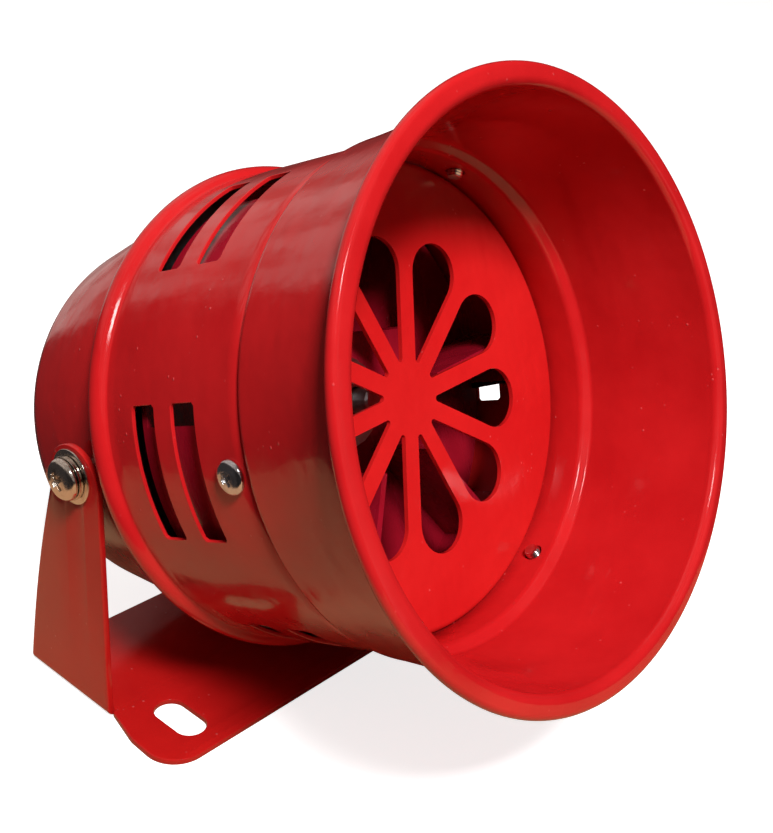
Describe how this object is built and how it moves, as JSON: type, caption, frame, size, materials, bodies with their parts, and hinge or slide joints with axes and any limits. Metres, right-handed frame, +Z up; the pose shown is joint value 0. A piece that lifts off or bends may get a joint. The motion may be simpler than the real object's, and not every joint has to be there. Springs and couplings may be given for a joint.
{
  "type": "alarm siren",
  "caption": "Small motor-driven alarm siren: red flared horn, slotted drum and domed rear cover tilting in a U bracket, with siren wheel and series motor inside.",
  "frame": {"origin": "on the underside of the bracket's base plate, directly below the pivot axis", "axes": "+Z up, away from the surface the base stands on; the horn faces -Y, raised 22 degrees; the pivot axis runs along X"},
  "size_m": [0.0998, 0.1262, 0.121],
  "materials": {
    "red_enamel": "glossy red stoved enamel over sheet steel, slight orange peel",
    "wheel_paint": "thin red paint over sheet steel",
    "nickel_plate": "bright nickel plating, slightly tarnished",
    "zinc_plate": "dull zinc plating",
    "bare_steel": "bare steel with a film of oil",
    "spring_steel": "drawn spring wire",
    "sintered_bronze": "matt sintered bronze",
    "brass": "turned brass",
    "copper": "turned copper bars",
    "winding_enamel": "varnished enamelled copper wire",
    "carbon": "pressed carbon",
    "bakelite": "moulded phenolic",
    "rubber": "moulded black rubber"
  },
  "bodies": {
    "bracket": {"mounting_bracket": "red_enamel"},
    "head": {"horn": "red_enamel", "intake_guard": "red_enamel", "slotted_drum": "red_enamel", "rear_cover": "red_enamel", "cable_grommet": "rubber", "motor_plate": "zinc_plate", "front_bearing": "sintered_bronze", "rear_bearing": "sintered_bronze", "motor_end_plate": "zinc_plate", "field_stack": "bare_steel", "drum_screw_1": "nickel_plate", "drum_screw_2": "nickel_plate", "drum_screw_3": "nickel_plate", "pivot_screw_left": "nickel_plate", "spring_washer_left": "nickel_plate", "flat_washer_left": "nickel_plate", "pivot_nut_left": "nickel_plate", "field_coil_left": "winding_enamel", "brush_holder_left": "bakelite", "brush_spring_left": "spring_steel", "pivot_screw_right": "nickel_plate", "spring_washer_right": "nickel_plate", "flat_washer_right": "nickel_plate", "pivot_nut_right": "nickel_plate", "field_coil_right": "winding_enamel", "brush_holder_right": "bakelite", "brush_spring_right": "spring_steel", "motor_bolt_upper": "zinc_plate", "motor_nut_upper": "zinc_plate", "front_spacer_upper": "zinc_plate", "rear_spacer_upper": "zinc_plate", "motor_bolt_lower": "zinc_plate", "motor_nut_lower": "zinc_plate", "front_spacer_lower": "zinc_plate", "rear_spacer_lower": "zinc_plate"},
    "rotor": {"motor_shaft": "bare_steel", "siren_wheel": "wheel_paint", "wheel_hub": "brass", "wheel_washer": "zinc_plate", "wheel_nut": "zinc_plate", "armature_core": "bare_steel", "armature_winding_front": "winding_enamel", "armature_winding_rear": "winding_enamel", "commutator": "copper"},
    "brush_left": {"brush_left": "carbon"},
    "brush_right": {"brush_right": "carbon"}
  },
  "joints": [
    {"name": "head_tilt", "type": "hinge", "parent": "bracket", "child": "head", "pos_m": [0, 0, 0.0473], "axis": [-1, 0, 0], "range_deg": [-22, 68]},
    {"name": "rotor_spin", "type": "hinge", "parent": "head", "child": "rotor", "pos_m": [0, 0, 0.0473], "axis": [0, -0.9272, 0.3746], "continuous": true},
    {"name": "brush_left_slide", "type": "slide", "parent": "head", "child": "brush_left", "axis": [-1, 0, 0], "range_m": [0, 0.0015], "stiffness_N_per_m": 50, "springref_m": -0.01, "deforming": ["brush_spring_left"]},
    {"name": "brush_right_slide", "type": "slide", "parent": "head", "child": "brush_right", "axis": [1, 0, 0], "range_m": [0, 0.0015], "stiffness_N_per_m": 50, "springref_m": -0.01, "deforming": ["brush_spring_right"]}
  ]
}
